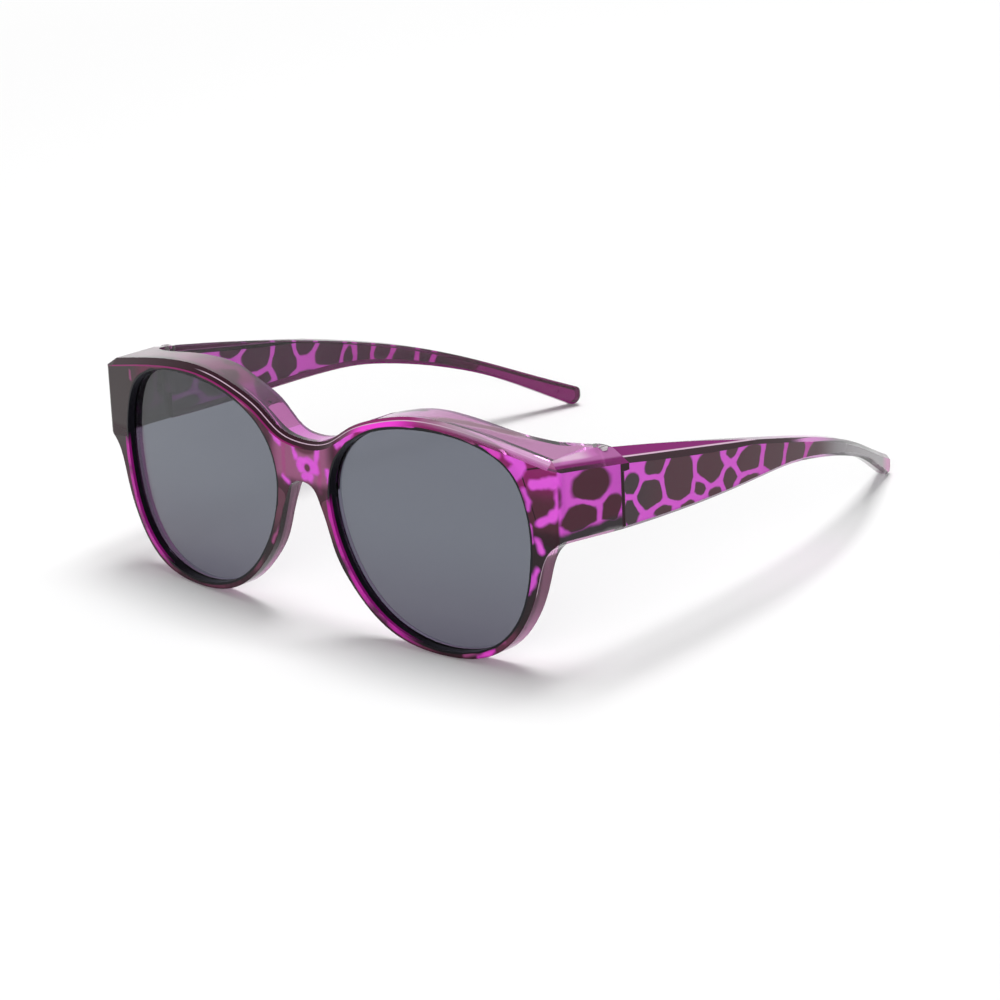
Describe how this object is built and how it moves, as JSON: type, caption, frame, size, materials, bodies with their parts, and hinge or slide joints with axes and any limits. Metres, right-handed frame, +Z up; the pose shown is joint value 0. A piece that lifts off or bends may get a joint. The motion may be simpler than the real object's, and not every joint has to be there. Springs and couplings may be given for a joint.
{
  "type": "fitover sunglasses",
  "caption": "Large rounded fitover sunglasses with a deep brow shelf, tinted lenses and tall tapering temples that fold at moulded hinges.",
  "frame": {"origin": "middle of the bounding box, on the plane that the rims' feet and the temple tips stand on", "axes": "+X to the wearer's left, -Y the way the wearer looks, +Z up"},
  "size_m": [0.152, 0.1472, 0.0543],
  "materials": {
    "frame_plastic": "glossy translucent magenta with dark brown spots",
    "lens": "smooth neutral grey tint",
    "screw_steel": "plain"
  },
  "bodies": {
    "front": {"front_frame": "frame_plastic", "lens_left": "lens", "lens_right": "lens", "hinge_screw_left": "screw_steel", "hinge_screw_right": "screw_steel"},
    "left_temple": {"temple_left": "frame_plastic"},
    "right_temple": {"temple_right": "frame_plastic"}
  },
  "joints": [
    {"name": "left_temple_fold", "type": "hinge", "parent": "front", "child": "left_temple", "pos_m": [0.0713, -0.04834, 0.04717], "axis": [0, 0.0527, 0.9986], "range_deg": [0, 86]},
    {"name": "right_temple_fold", "type": "hinge", "parent": "front", "child": "right_temple", "pos_m": [-0.0713, -0.04834, 0.04717], "axis": [0, -0.0527, -0.9986], "range_deg": [0, 80]}
  ]
}
